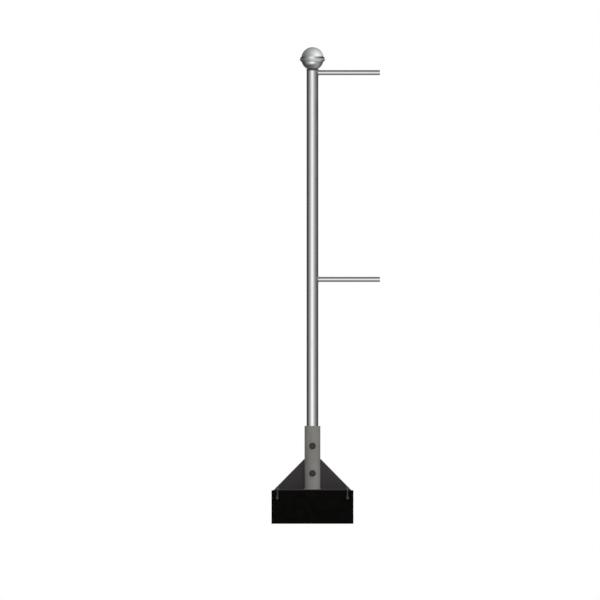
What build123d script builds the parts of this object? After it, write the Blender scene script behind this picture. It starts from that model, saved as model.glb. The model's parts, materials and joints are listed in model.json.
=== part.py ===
from build123d import *
import math
import os

# A six-metre flagpole with two fixed banner arms. The pole stands in a bolted steel socket with two
# gussets, on a base plate that four headed bolts hold to a footing block. A ball in three pieces, with
# a bead round its waist, closes the pole's end.
# Millimetres, +Z up. The origin is on the pole's axis at the underside of the footing block. The arms
# point along +X, and the heads of the socket bolts face -Y, which is the front.

# ---- Footing block ---------------------------------------------------------------------------------
footing_width = 1110.0
footing_depth = 1110.0
footing_height = 455.0
footing_chamfer = 4.0

# ---- Base plate ------------------------------------------------------------------------------------
plate_inset = 30.0  # from the footing's faces
plate_thickness = 12.0
plate_corner_radius = 25.0
plate_edge_break = 2.0

# ---- Anchor bolts, each hung in an open pocket of the footing --------------------------------------
anchor_side_inset = 80.0  # from the footing's sides to a bolt's axis
anchor_face_inset = 58.0  # from the face that its pocket opens to, front or back
anchor_diameter = 27.0
anchor_hole_clearance = 1.5
anchor_depth = 79.0  # from the footing's top to the bolt's head
anchor_head_flats = 52.0
anchor_head_height = 54.0
anchor_head_shoulder = 15.0
anchor_head_shoulder_height = 24.0
anchor_head_taper = 18.0
anchor_head_taper_height = 26.0
anchor_nut_flats = 41.0
anchor_nut_height = 22.0
anchor_washer_diameter = 50.0
anchor_washer_thickness = 4.0
anchor_end_past_nut = 10.0
pocket_shank_clearance = 6.0
pocket_head_clearance = 8.0
pocket_floor_clearance = 10.0

# ---- Socket tube and gussets -----------------------------------------------------------------------
socket_wall = 26.5
socket_length = 859.0
socket_lip_chamfer = 3.0
socket_mouth_chamfer = 1.0
weld_leg = 8.0
weld_root_gap = 0.3
gusset_thickness = 20.0
gusset_height = 408.0
gusset_margin = 17.0  # from the plate's edge to the gusset's nose
gusset_nose = 8.0
gusset_snipe_clearance = 2.0

# ---- Pole ------------------------------------------------------------------------------------------
pole_diameter = 160.0
pole_wall = 5.0
pole_socket_clearance = 1.0
overall_height = 6000.0  # from the footing's top to the top of the ball

# ---- Through bolts that hold the pole in the socket ------------------------------------------------
socket_bolt_diameter = 42.0
socket_bolt_hole_clearance = 1.0
socket_bolt_flats = 65.0
socket_bolt_head_height = 26.0
socket_nut_height = 34.0
socket_bolt_end_past_nut = 12.0
socket_washer_diameter = 88.0
socket_washer_thickness = 6.0  # at its thinnest, on the crown of the socket
socket_washer_gap = 0.3
lower_bolt_height = 217.0  # above the base plate
socket_bolt_spacing = 370.0

# ---- Ball finial -----------------------------------------------------------------------------------
ball_radius = 151.0
ball_wall = 4.0
ball_seam_height = 14.0  # straight band between the round halves
bead_circle_radius = 140.0  # the circle that the bead's section is centred on
bead_section_radius = 34.0
bead_fillet = 12.0
ring_half_height = 42.0
ring_bore_radius = 130.0
ring_lip_height = 9.0
ring_lip_clearance = 0.3
neck_height = 12.0
neck_bore = 116.0
neck_seat_gap = 0.3
spigot_length = 120.0
spigot_clearance = 0.3

# ---- Banner arms -----------------------------------------------------------------------------------
arm_diameter = 70.0
arm_wall = 4.0
arm_reach = 913.0  # from the pole's axis to the arm's tip
arm_below_pole_end = 6.0
arm_spacing = 2800.0
arm_weld_leg = 5.0
arm_cap_thickness = 5.0
arm_cap_edge_break = 1.5
arm_cap_plug_length = 30.0
arm_cap_plug_clearance = 0.3

# ---- Small common values ---------------------------------------------------------------------------
thread_clearance = 0.15
hexagon_chamfer_angle = 30.0
hexagon_end_share = 0.95  # a hexagon's round end as a share of its width across flats
bolt_tip_chamfer = 2.5
washer_edge_break = 0.8
cut_overrun = 5.0  # how far a cut runs past the face that it opens

# ---- Levels and radii worked out from the sizes above ----------------------------------------------
plate_width = footing_width - 2 * plate_inset
plate_depth = footing_depth - 2 * plate_inset
plate_top = footing_height + plate_thickness
anchor_x = footing_width / 2 - anchor_side_inset
anchor_y = footing_depth / 2 - anchor_face_inset
anchor_hole = anchor_diameter + 2 * anchor_hole_clearance
anchor_head_top = footing_height - anchor_depth
pole_radius = pole_diameter / 2
pole_bore = pole_diameter - 2 * pole_wall
socket_bore = pole_diameter + 2 * pole_socket_clearance
socket_radius = socket_bore / 2 + socket_wall
gusset_start = socket_radius + weld_root_gap
gusset_end = plate_width / 2 - gusset_margin
gusset_snipe = weld_leg + gusset_snipe_clearance
lower_bolt_level = plate_top + lower_bolt_height
upper_bolt_level = lower_bolt_level + socket_bolt_spacing
socket_bolt_hole = socket_bolt_diameter + 2 * socket_bolt_hole_clearance
washer_face = socket_radius + socket_washer_thickness
dome_centre = footing_height + overall_height - ball_radius
bowl_centre = dome_centre - ball_seam_height
pole_top = bowl_centre - math.sqrt(ball_radius**2 - pole_radius**2) - neck_height
upper_arm_level = pole_top - arm_below_pole_end - arm_diameter / 2
lower_arm_level = upper_arm_level - arm_spacing
arm_bore = arm_diameter - 2 * arm_wall
arm_root = pole_radius + weld_root_gap

FROM_BELOW = (Align.CENTER, Align.CENTER, Align.MIN)
ALONG_X = Rot(0, 90, 0)
TO_FRONT = Rot(90, 0, 0)
TO_BACK = Rot(-90, 0, 0)


# ---- Shapes that several pieces share --------------------------------------------------------------
def disc(diameter, height):
    """A plain cylinder that stands on the XY plane."""
    return Cylinder(diameter / 2, height, align=FROM_BELOW)


def turned(outline):
    """A solid turned about Z from an outline of (radius, height) points."""
    distinct_points = dict.fromkeys(outline)
    return revolve(Plane.XZ * make_face(Polyline(*distinct_points, close=True)), Axis.Z)


def turned_disc(diameter, height, low=(0, 0), high=(0, 0)):
    """A disc on the XY plane with its lower and upper rims cut back by (radial, axial) amounts."""
    radius = diameter / 2
    return turned([
        (0, 0),
        (radius - low[0], 0),
        (radius, low[1]),
        (radius, height - high[1]),
        (radius - high[0], height),
        (0, height),
    ])


def hexagon_bar(flats, height, low=(0, 0), high=(0, 0)):
    """A hexagonal block on the XY plane, corners along X, its ends turned as on a turned disc."""
    bar = extrude(RegularPolygon(flats / 2, 6, major_radius=False), height)
    corners = flats / math.cos(math.radians(30))
    return bar & turned_disc(corners, height, low, high)


def hexagon_chamfer(flats):
    """The (radial, axial) amounts of the usual chamfer on a hexagon's corners."""
    radial = flats / math.cos(math.radians(30)) / 2 - hexagon_end_share * flats / 2
    return radial, radial * math.tan(math.radians(hexagon_chamfer_angle))


def hexagon_nut(flats, height, thread):
    """A nut on the XY plane, chamfered at both ends, with a plain bore."""
    ends = hexagon_chamfer(flats)
    return hexagon_bar(flats, height, ends, ends) - disc(thread + 2 * thread_clearance, height)


def shank(diameter, length):
    """A bolt's plain shank on the XY plane, with a chamfered tip on top."""
    return turned_disc(diameter, length, high=(bolt_tip_chamfer, bolt_tip_chamfer))


def washer(diameter, bore, thickness):
    """A flat washer on the XY plane with its upper rim broken."""
    blank = turned_disc(diameter, thickness, high=(washer_edge_break, washer_edge_break))
    return blank - disc(bore, thickness)


# ---- Footing and base plate ------------------------------------------------------------------------
def anchor_places():
    """Name, side and place of each anchor bolt. The side is -1 at the front and 1 at the back."""
    for depth_name, side in (("front", -1), ("back", 1)):
        for width_name, hand in (("left", -1), ("right", 1)):
            yield f"{depth_name}_{width_name}", side, hand * anchor_x, side * anchor_y


def open_lane(width, height, side):
    """A slot that stands on the XY plane, round at the origin and open to the front or the back."""
    run = anchor_face_inset + cut_overrun
    straight = Pos(0, side * run / 2, 0) * Box(width, run, height, align=FROM_BELOW)
    return disc(width, height) + straight


def footing_block():
    """The block, with four keyhole pockets that the anchor bolts slide into from its faces."""
    block = Box(footing_width, footing_depth, footing_height, align=FROM_BELOW)
    rims = block.edges().filter_by(Axis.Z) + block.edges().group_by(Axis.Z)[-1]
    block = chamfer(rims, footing_chamfer)
    head_width = anchor_head_flats / math.cos(math.radians(30)) + 2 * pocket_head_clearance
    head_room = anchor_head_height + pocket_floor_clearance
    shank_width = anchor_diameter + 2 * pocket_shank_clearance
    shank_room = anchor_depth + cut_overrun
    for _, side, x, y in anchor_places():
        block -= Pos(x, y, anchor_head_top - head_room) * open_lane(head_width, head_room, side)
        block -= Pos(x, y, anchor_head_top) * open_lane(shank_width, shank_room, side)
    return block


def base_plate():
    """The square plate on the footing, with rounded corners and four anchor holes."""
    plate = extrude(RectangleRounded(plate_width, plate_depth, plate_corner_radius), plate_thickness)
    plate = chamfer(plate.edges().group_by(Axis.Z)[-1], plate_edge_break)
    for _, _, x, y in anchor_places():
        plate -= Pos(x, y, 0) * disc(anchor_hole, plate_thickness)
    return Pos(0, 0, footing_height) * plate


def anchor_bolt():
    """A headed bolt: its head, tapered both ways, hangs in the pocket; its shank rises through the plate."""
    taper = (anchor_head_taper, anchor_head_taper_height)
    shoulder = (anchor_head_shoulder, anchor_head_shoulder_height)
    head = hexagon_bar(anchor_head_flats, anchor_head_height, taper, shoulder)
    rise = anchor_depth + plate_thickness + anchor_washer_thickness + anchor_nut_height
    stem = shank(anchor_diameter, rise + anchor_end_past_nut)
    return Pos(0, 0, anchor_head_top) * (Pos(0, 0, -anchor_head_height) * head + stem)


def anchor_washer():
    """The washer under an anchor nut."""
    ring = washer(anchor_washer_diameter, anchor_hole, anchor_washer_thickness)
    return Pos(0, 0, plate_top) * ring


def anchor_nut():
    """The nut on an anchor bolt."""
    nut = hexagon_nut(anchor_nut_flats, anchor_nut_height, anchor_diameter)
    return Pos(0, 0, plate_top + anchor_washer_thickness) * nut


# ---- Socket, gussets and through bolts -------------------------------------------------------------
def bolt_holes(length):
    """Two cutters along Y for the through bolts, centred on the pole's axis."""
    hole = TO_BACK * Cylinder(socket_bolt_hole / 2, length)
    return Pos(0, 0, lower_bolt_level) * hole + Pos(0, 0, upper_bolt_level) * hole


def socket_tube():
    """The heavy tube that the pole stands in, with the weld round its foot and the bolt holes."""
    body = turned([
        (socket_bore / 2, 0),
        (socket_radius + weld_leg, 0),
        (socket_radius, weld_leg),
        (socket_radius, socket_length - socket_lip_chamfer),
        (socket_radius - socket_lip_chamfer, socket_length),
        (socket_bore / 2 + socket_mouth_chamfer, socket_length),
        (socket_bore / 2, socket_length - socket_mouth_chamfer),
    ])
    return Pos(0, 0, plate_top) * body - bolt_holes(4 * socket_radius)


def gusset_plate():
    """The right-hand gusset's plate: blunt at both tips, and sniped over the weld of the socket."""
    outline = Polyline(
        (gusset_start + gusset_snipe, plate_top),
        (gusset_end, plate_top),
        (gusset_end, plate_top + gusset_nose),
        (gusset_start + gusset_nose, plate_top + gusset_height),
        (gusset_start, plate_top + gusset_height),
        (gusset_start, plate_top + gusset_snipe),
        close=True,
    )
    return extrude(Plane.XZ * make_face(outline), gusset_thickness / 2, both=True)


def gusset_welds():
    """The fillet welds on one face of the right-hand gusset, along its foot and up its root."""
    side = gusset_thickness / 2
    foot_section = Polyline((side, 0), (side + weld_leg, 0), (side, weld_leg), close=True)
    foot_start = gusset_start + gusset_snipe
    foot_plane = Plane(origin=(foot_start, 0, plate_top), x_dir=(0, 1, 0), z_dir=(1, 0, 0))
    foot_weld = extrude(foot_plane * make_face(foot_section), gusset_end - foot_start)
    root_section = Polyline(
        (gusset_start - weld_leg, side),
        (gusset_start + weld_leg, side),
        (gusset_start - weld_leg, side + 2 * weld_leg),
        close=True,
    )
    root_plane = Plane.XY.offset(plate_top + gusset_snipe)
    root_weld = extrude(root_plane * make_face(root_section), gusset_height - gusset_snipe)
    root_weld -= Pos(0, 0, plate_top) * disc(2 * gusset_start, 2 * gusset_height)
    return foot_weld + root_weld


def gusset():
    """The right-hand gusset with the welds on its front and back faces."""
    welds = gusset_welds()
    return gusset_plate() + welds + mirror(welds, Plane.XZ)


def socket_bolt(level):
    """A through bolt along Y with its head on the front washer."""
    chamfered_end = hexagon_chamfer(socket_bolt_flats)
    head = hexagon_bar(socket_bolt_flats, socket_bolt_head_height, high=chamfered_end)
    length = 2 * washer_face + socket_nut_height + socket_bolt_end_past_nut
    stem = shank(socket_bolt_diameter, length)
    return Pos(0, -washer_face, level) * (TO_FRONT * head + TO_BACK * stem)


def saddle_washer(level, turn):
    """A washer with a flat outer face and an inner face hollowed to sit on the socket."""
    blank = turn * washer(socket_washer_diameter, socket_bolt_hole, washer_face)
    saddle = Cylinder(socket_radius + socket_washer_gap, 2 * socket_washer_diameter)
    return Pos(0, 0, level) * (blank - saddle)


def socket_nut(level):
    """The nut of a through bolt, on the back washer."""
    nut = hexagon_nut(socket_bolt_flats, socket_nut_height, socket_bolt_diameter)
    return Pos(0, washer_face, level) * TO_BACK * nut


# ---- Pole and arms ---------------------------------------------------------------------------------
def pole_tube():
    """The pole, from the base plate up to the neck of the finial."""
    length = pole_top - plate_top
    body = disc(pole_diameter, length) - disc(pole_bore, length)
    return Pos(0, 0, plate_top) * body - bolt_holes(2 * pole_diameter)


def arm_tube(level):
    """A banner arm, hollowed at its root to the round of the pole, with the weld round the root."""
    length = arm_reach - arm_cap_thickness
    bevel = (arm_weld_leg, arm_weld_leg)
    weld = turned_disc(arm_diameter + 2 * arm_weld_leg, arm_root + arm_weld_leg, high=bevel)
    body = ALONG_X * (disc(arm_diameter, length) + weld - disc(arm_bore, length))
    return Pos(0, 0, level) * (body - Cylinder(arm_root, 2 * arm_diameter))


def arm_cap(level):
    """The cap that closes an arm's tip, with a plug inside the tube."""
    edge_break = (arm_cap_edge_break, arm_cap_edge_break)
    face = turned_disc(arm_diameter, arm_cap_thickness, high=edge_break)
    plug = disc(arm_bore - 2 * arm_cap_plug_clearance, arm_cap_plug_length)
    body = face + Pos(0, 0, -arm_cap_plug_length) * plug
    return Pos(arm_reach - arm_cap_thickness, 0, level) * ALONG_X * body


# ---- Ball finial, drawn about the centre of the bowl -----------------------------------------------
def ball(radius):
    """A solid ball, drawn out along Z by the height of the seam."""
    upper = Pos(0, 0, ball_seam_height) * Sphere(radius)
    return Sphere(radius) + upper + disc(2 * radius, ball_seam_height)


def beaded_ball():
    """The solid ball with the bead round its waist, filleted into the round above and below it."""
    outline = Circle(ball_radius) + Pos(0, ball_seam_height) * Circle(ball_radius)
    outline += Pos(0, ball_seam_height / 2) * Rectangle(2 * ball_radius, ball_seam_height)
    outline += Pos(bead_circle_radius, 0) * Circle(bead_section_radius)
    outline &= Rectangle(4 * ball_radius, 4 * ball_radius, align=(Align.MIN, Align.CENTER))
    notches = [corner for corner in outline.vertices() if corner.X > ball_radius / 2]
    return revolve(Plane.XZ * fillet(notches, bead_fillet), Axis.Z)


def between(body, low, high):
    """The slice of a body between two heights."""
    slab = Box(4 * ball_radius, 4 * ball_radius, high - low, align=FROM_BELOW)
    return body & Pos(0, 0, low) * slab


def finial_ring():
    """The turned ring with the bead, and at each end a lip that centres the half seated there."""
    waist = between(beaded_ball(), -ring_half_height, ring_half_height)
    lip_end = ring_half_height + ring_lip_height
    lips = between(ball(ball_radius - ball_wall - ring_lip_clearance), -lip_end, lip_end)
    return Pos(0, 0, bowl_centre) * (waist + lips - Cylinder(ring_bore_radius, 2 * lip_end))


def finial_dome():
    """The hollow upper half, seated on the ring."""
    shell = ball(ball_radius) - ball(ball_radius - ball_wall)
    return Pos(0, 0, bowl_centre) * between(shell, ring_half_height, 2 * ball_radius)


def finial_bowl():
    """The hollow lower half under the ring, open at the neck."""
    shell = ball(ball_radius) - ball(ball_radius - ball_wall) - Cylinder(neck_bore / 2, 4 * ball_radius)
    return Pos(0, 0, bowl_centre) * between(shell, -2 * ball_radius, -ring_half_height)


def finial_neck():
    """The turned neck on the pole's end, dished for the ball, with a spigot inside the pole."""
    collar = Pos(0, 0, spigot_length) * disc(pole_diameter, neck_height)
    spigot = disc(pole_bore - 2 * spigot_clearance, spigot_length)
    body = collar + spigot - disc(neck_bore, spigot_length + neck_height)
    seat = Pos(0, 0, bowl_centre) * Sphere(ball_radius + neck_seat_gap)
    return Pos(0, 0, pole_top - spigot_length) * body - seat


# ---- All pieces by name ----------------------------------------------------------------------------
def all_pieces():
    """Every piece of the flagpole under its own name."""
    right_gusset = gusset()
    pieces = {
        "footing_block": footing_block(),
        "base_plate": base_plate(),
        "socket_tube": socket_tube(),
        "gusset_right": right_gusset,
        "gusset_left": Rot(0, 0, 180) * right_gusset,
        "pole_tube": pole_tube(),
        "finial_neck": finial_neck(),
        "finial_bowl": finial_bowl(),
        "finial_ring": finial_ring(),
        "finial_dome": finial_dome(),
    }
    for name, level in (("upper", upper_arm_level), ("lower", lower_arm_level)):
        pieces[f"{name}_arm_tube"] = arm_tube(level)
        pieces[f"{name}_arm_cap"] = arm_cap(level)
    for name, level in (("upper", upper_bolt_level), ("lower", lower_bolt_level)):
        pieces[f"socket_bolt_{name}"] = socket_bolt(level)
        pieces[f"socket_nut_{name}"] = socket_nut(level)
        pieces[f"socket_washer_{name}_front"] = saddle_washer(level, TO_FRONT)
        pieces[f"socket_washer_{name}_back"] = saddle_washer(level, TO_BACK)
    for place, _, x, y in anchor_places():
        pieces[f"anchor_bolt_{place}"] = Pos(x, y, 0) * anchor_bolt()
        pieces[f"anchor_washer_{place}"] = Pos(x, y, 0) * anchor_washer()
        pieces[f"anchor_nut_{place}"] = Pos(x, y, 0) * anchor_nut()
    return pieces


os.makedirs("parts", exist_ok=True)
for name, piece in all_pieces().items():
    export_step(piece, f"parts/{name}.step")
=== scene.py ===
import json
import math

import bmesh
import bpy
from bpy.props import FloatProperty, FloatVectorProperty, IntProperty, PointerProperty
from bpy.types import Operator, Panel, PropertyGroup
from mathutils import Matrix, Vector, noise


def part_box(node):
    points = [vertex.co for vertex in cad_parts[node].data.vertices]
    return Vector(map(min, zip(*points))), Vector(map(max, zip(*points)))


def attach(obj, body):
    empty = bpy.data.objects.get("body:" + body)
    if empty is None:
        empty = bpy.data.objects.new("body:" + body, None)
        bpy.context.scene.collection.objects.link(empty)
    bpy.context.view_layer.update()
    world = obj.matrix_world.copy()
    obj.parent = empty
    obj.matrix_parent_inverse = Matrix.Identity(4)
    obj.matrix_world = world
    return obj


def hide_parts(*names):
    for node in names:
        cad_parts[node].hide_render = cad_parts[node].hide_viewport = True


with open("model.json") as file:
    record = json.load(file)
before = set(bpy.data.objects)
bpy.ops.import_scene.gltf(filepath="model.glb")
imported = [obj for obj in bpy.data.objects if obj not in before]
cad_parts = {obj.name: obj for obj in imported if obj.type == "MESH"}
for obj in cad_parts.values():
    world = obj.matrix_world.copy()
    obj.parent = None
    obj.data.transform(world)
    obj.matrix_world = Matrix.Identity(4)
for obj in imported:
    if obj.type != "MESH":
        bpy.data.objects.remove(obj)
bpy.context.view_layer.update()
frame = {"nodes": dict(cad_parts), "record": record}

bl_info = {
    "name": "Flagpole",
    "version": (1, 0, 0),
    "blender": (4, 5, 0),
    "location": "View3D > Sidebar > Flagpole",
    "description": "Builds the metalwork, finishes and studio of a six-metre flagpole with two banner arms",
    "category": "Object",
}

# The flagpole stands on Z with its banner arms along +X. The heads of the socket bolts face -Y, the front.
# All lengths are in metres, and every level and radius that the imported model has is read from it.

LEVELS = ("upper", "lower")
CORNERS = ("front_left", "front_right", "back_left", "back_right")
TO_FRONT = Matrix.Rotation(math.radians(90), 4, "X")
TO_BACK = Matrix.Rotation(math.radians(-90), 4, "X")
ALONG_ARM = Matrix.Rotation(math.radians(90), 4, "Y")


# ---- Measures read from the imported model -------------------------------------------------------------
def middle(node):
    """The middle of a node's box."""
    low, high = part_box(node)
    return (low + high) / 2


def extent(node):
    """The size of a node's box."""
    low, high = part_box(node)
    return high - low


def socket_radius(sizes):
    """The radius of the socket's tube, which the weld round its foot stands out from."""
    return extent("socket_tube").x / 2 - sizes.weld_leg


def slot_colour(slot):
    """The colour that the record gives a material slot."""
    return next(row["base_color"] for row in frame["record"]["materials"] if row["slot"] == slot)


# ---- Settings ----------------------------------------------------------------------------------------
def length(label, text, default):
    """A length setting in metres."""
    return FloatProperty(name=label, description=text, default=default, min=0.0, precision=4,
                         subtype="DISTANCE", unit="LENGTH")


def tint(label, text, default):
    """A colour setting."""
    return FloatVectorProperty(name=label, description=text, default=default, min=0.0, max=1.0,
                               subtype="COLOR", size=3)


def strength(label, text, default):
    """A brightness setting."""
    return FloatProperty(name=label, description=text, default=default, min=0.0)


class FlagpoleSizes(PropertyGroup):
    """Sizes of the flagpole's visible details."""
    large_round_steps: IntProperty(name="Large round steps", default=160, min=24,
                                   description="Sides of the pole, socket and ball")
    small_round_steps: IntProperty(name="Small round steps", default=96, min=24, step=6,
                                   description="Sides of bolts, nuts and washers, a multiple of six")
    edge_round: length("Edge round", "Radius on the edges of turned pieces", 0.0015)
    plate_edge_round: length("Plate edge round", "Radius on the edges of the gussets", 0.0012)
    pole_wall: length("Pole wall", "Thickness of the pole's wall", 0.005)
    arm_wall: length("Arm wall", "Thickness of an arm's wall", 0.004)
    arm_weld_leg: length("Arm weld leg", "Leg of the weld round an arm's root", 0.005)
    ball_wall: length("Ball wall", "Thickness of the ball's two shells", 0.004)
    ball_seam: length("Ball seam", "Height by which the ball's halves are drawn apart", 0.014)
    ring_half_height: length("Ring half height", "From the middle of the ring to its seams", 0.042)
    ring_depth: length("Ring depth", "From the ball's round in to the ring's bore", 0.021)
    band_radius: length("Band radius", "Radius of the bands above and below the ring's nosing", 0.1646)
    band_top: length("Band top", "Height of the upper band's edge over the ring's middle", 0.031)
    collar_top: length("Collar top", "Height of the ring's upright collar over its middle", 0.038)
    band_foot: length("Band foot", "Depth of the lower band's edge under the ring's middle", 0.024)
    hem_depth: length("Hem depth", "Depth of the ring's lower ledge under its middle", 0.032)
    hem_radius: length("Hem radius", "Radius of the ring's lower ledge", 0.1606)
    nosing_drop: length("Nosing drop", "How far the nosing's crest sits below the ring's middle", 0.0027)
    nosing_half_height: length("Nosing half height", "From the nosing's crest to its grooves", 0.0104)
    groove_radius: length("Groove radius", "Radius of the grooves beside the nosing", 0.1634)
    ring_ease: length("Ring ease", "Height of the slope into the nosing's upper groove", 0.0015)
    seam_gap: length("Seam gap", "Width of the line where two turned pieces meet", 0.0006)
    seam_depth: length("Seam depth", "Depth of the line where two turned pieces meet", 0.002)
    collar_lap: length("Collar lap", "How far the neck's collar laps over the pole", 0.0115)
    collar_sleeve: length("Collar sleeve", "Thickness of the lapped collar", 0.0008)
    neck_groove: length("Neck groove", "Depth of the groove under the ball", 0.0025)
    neck_bore: length("Neck bore", "Radius of the hole through the neck", 0.058)
    socket_wall: length("Socket wall", "Thickness of the socket's wall", 0.0265)
    weld_leg: length("Weld leg", "Leg of the welds on the base plate", 0.008)
    weld_gap: length("Weld gap", "Gap between two welded pieces", 0.0003)
    weld_ripple: length("Weld ripple", "Distance between two ripples of a weld", 0.0042)
    weld_station: length("Weld station", "Distance between two sections of a weld", 0.0011)
    gusset_thickness: length("Gusset thickness", "Thickness of a gusset", 0.020)
    gusset_nose: length("Gusset nose", "Blunt height of a gusset's tips", 0.008)
    gusset_snipe: length("Gusset snipe", "Corner cut off a gusset over the socket's weld", 0.010)
    shank_radius: length("Socket bolt radius", "Radius of a socket bolt's shank", 0.021)
    socket_thread: length("Socket bolt thread", "Pitch of a socket bolt's thread", 0.0045)
    head_dish: length("Head dish", "Depth of the dish in a socket bolt's head", 0.0006)
    washer_play: length("Washer play", "Radial gap between a socket bolt and its washers", 0.001)
    anchor_radius: length("Anchor radius", "Radius of an anchor bolt's shank", 0.0135)
    anchor_thread: length("Anchor thread", "Pitch of an anchor bolt's thread", 0.003)
    anchor_flats: length("Anchor head flats", "Width across flats of an anchor bolt's head", 0.052)
    anchor_head: length("Anchor head height", "Height of an anchor bolt's head", 0.054)
    anchor_shoulder: length("Anchor head shoulder", "How far the head's shoulder slopes in", 0.015)
    anchor_shoulder_height: length("Anchor shoulder height", "Height of the head's shoulder", 0.024)
    anchor_taper: length("Anchor head taper", "How far the head's foot tapers in", 0.018)
    anchor_taper_height: length("Anchor taper height", "Height of the head's taper", 0.026)
    nut_relief: length("Nut relief", "Radial gap between a nut and its thread", 0.00015)
    tip_chamfer: length("Tip chamfer", "Chamfer on the end of a bolt", 0.0025)


class FlagpoleColours(PropertyGroup):
    """Colours of the flagpole's finishes."""
    pole_metal: tint("Pole", "Drawn tube of the pole", slot_colour("pole_metal"))
    arm_metal: tint("Arms", "Drawn tube of the arms", slot_colour("arm_metal"))
    ball_metal: tint("Ball", "Spun and polished shells of the ball", slot_colour("ball_metal"))
    socket_steel: tint("Socket", "Weathered zinc on the socket", slot_colour("socket_steel"))
    base_steel: tint("Base", "Paint on the base plate and gussets", slot_colour("base_steel"))
    bolt_steel: tint("Socket bolts", "Blackened steel of the socket bolts", slot_colour("bolt_steel"))
    # The neck's collar takes this dark colour as painted shade under the ball.
    anchor_steel: tint("Anchor bolts", "Coated steel of the anchor bolts and the neck's collar",
                       slot_colour("anchor_steel"))
    footing_concrete: tint("Footing", "Coated concrete of the footing", slot_colour("footing_concrete"))
    floor: tint("Floor", "Studio floor", (0.86, 0.86, 0.86))


class FlagpoleStudio(PropertyGroup):
    """Floor, light and camera of the studio."""
    floor_radius: length("Floor radius", "Radius of the studio floor", 14.0)
    floor_fade: length("Floor fade", "Radius from which the floor turns white", 3.0)
    card_distance: length("Card distance", "How far the reflected cards stand from the pole", 60.0)
    ambient: strength("Ambient", "Even light from all round", 0.16)
    front_lamp: strength("Front lamp", "Light from the front", 0.36)
    key_lamp: strength("Key lamp", "Light from the upper right", 0.28)
    back_lamp: strength("Back lamp", "Light from behind", 0.36)
    top_lamp: strength("Top lamp", "Light from overhead", 0.35)
    view_width: length("View width", "Width that the camera takes in", 8.1246)
    view_side: FloatProperty(name="View side", description="Where the camera stands along the arms",
                             default=-0.1686, subtype="DISTANCE", unit="LENGTH")
    view_level: length("View level", "Height of the camera", 3.0305)
    view_distance: length("View distance", "How far the camera stands from the pole", 20.0)


# ---- Building shapes ---------------------------------------------------------------------------------
def ring(steps, radius, height):
    """A ring of points about Z. The radius and the height may be functions of the angle."""
    points = []
    for step in range(steps):
        angle = math.tau * step / steps
        reach = radius(angle) if callable(radius) else radius
        level = height(angle) if callable(height) else height
        points.append(Vector((reach * math.cos(angle), reach * math.sin(angle), level)))
    return points


def tip(height):
    """A single point on Z, which closes a run of rings."""
    return [Vector((0, 0, height))]


def strip_faces(shape, lower, upper):
    """Joins two rings of a shape's corners by a strip of faces. A tip is a ring of one corner."""
    count = max(len(lower), len(upper))
    for here in range(count):
        there = (here + 1) % count
        corners = (lower[here % len(lower)], lower[there % len(lower)],
                   upper[there % len(upper)], upper[here % len(upper)])
        shape.faces.new(list(dict.fromkeys(corners)))


def skinned(rings, closed=False):
    """A shape over a run of rings. A closed run joins its last ring to its first."""
    shape = bmesh.new()
    loops = [[shape.verts.new(point) for point in points] for points in rings]
    for lower, upper in zip(loops, loops[1:] + loops[:1] if closed else loops[1:]):
        strip_faces(shape, lower, upper)
    bmesh.ops.recalc_face_normals(shape, faces=shape.faces)
    return shape


# The most of a side that a rounded corner takes.
EASE_SHARE = 0.45


def eased(outline, radius, steps=4):
    """An outline of (radius, height) points with its corners rounded. Points on the axis stay."""
    closed = outline[0][0] > 0
    points = []
    for index, point in enumerate(outline):
        at_end = not closed and index in (0, len(outline) - 1)
        if at_end or radius == 0:
            points.append(point)
            continue
        corner = Vector(point)
        before = Vector(outline[index - 1]) - corner
        after = Vector(outline[(index + 1) % len(outline)]) - corner
        start = corner + before.normalized() * min(radius, before.length * EASE_SHARE)
        end = corner + after.normalized() * min(radius, after.length * EASE_SHARE)
        for step in range(steps + 1):
            part = step / steps
            points.append(tuple(start.lerp(corner, part).lerp(corner.lerp(end, part), part)))
    return points


def sleeve(inside, outside, bottom, top):
    """The outline of a plain hollow round piece."""
    return [(inside, bottom), (outside, bottom), (outside, top), (inside, top)]


def turned(outline, steps):
    """A shape turned about Z from an outline of (radius, height) points."""
    rings = [ring(steps, reach, level) if reach > 0 else tip(level) for reach, level in outline]
    return skinned(rings, closed=outline[0][0] > 0)


def arc(centre, radius, start, end, steps):
    """Points on an arc about a (radius, height) centre, between two angles above the horizontal."""
    points = []
    for step in range(steps + 1):
        angle = start + (end - start) * step / steps
        points.append((centre[0] + radius * math.cos(angle), centre[1] + radius * math.sin(angle)))
    return points


# The shares of a hexagon's corner radius and of its half flats that its rounding and its chamfer leave, and
# the chamfer's slope.
CORNER_EASE = 0.985
HEXAGON_END_SHARE = 0.95
HEXAGON_CHAMFER = math.tan(math.radians(30))


def hexagon_corner(flats):
    """The radius to a hexagon's corners."""
    return flats / 2 / math.cos(math.radians(30))


def hexagon_chamfer(flats):
    """The (radial, axial) amounts of the usual chamfer on a hexagon's corners."""
    radial = hexagon_corner(flats) - HEXAGON_END_SHARE * flats / 2
    return radial, radial * HEXAGON_CHAMFER


def hexagon_rings(steps, flats, bottom, top, low, high):
    """The rings of a hexagonal block, corners along X, its ends turned back by (radial, axial) amounts."""
    corner = hexagon_corner(flats)

    def reach(angle):
        off_flat = angle % math.radians(60) - math.radians(30)
        return min(flats / 2 / math.cos(off_flat), corner * CORNER_EASE)

    def lower(angle):
        return bottom + low[1] - (corner - reach(angle)) * low[1] / low[0]

    def upper(angle):
        return top - high[1] + (corner - reach(angle)) * high[1] / high[0]

    return [ring(steps, corner - low[0], bottom), ring(steps, reach, lower),
            ring(steps, reach, upper), ring(steps, corner - high[0], top)]


def nut(steps, flats, bottom, top, bore):
    """A nut about Z, chamfered at both ends."""
    ends = hexagon_chamfer(flats)
    rings = [ring(steps, bore, bottom)]
    rings += hexagon_rings(steps, flats, bottom, top, ends, ends)
    rings.append(ring(steps, bore, top))
    return skinned(rings, closed=True)


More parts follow.
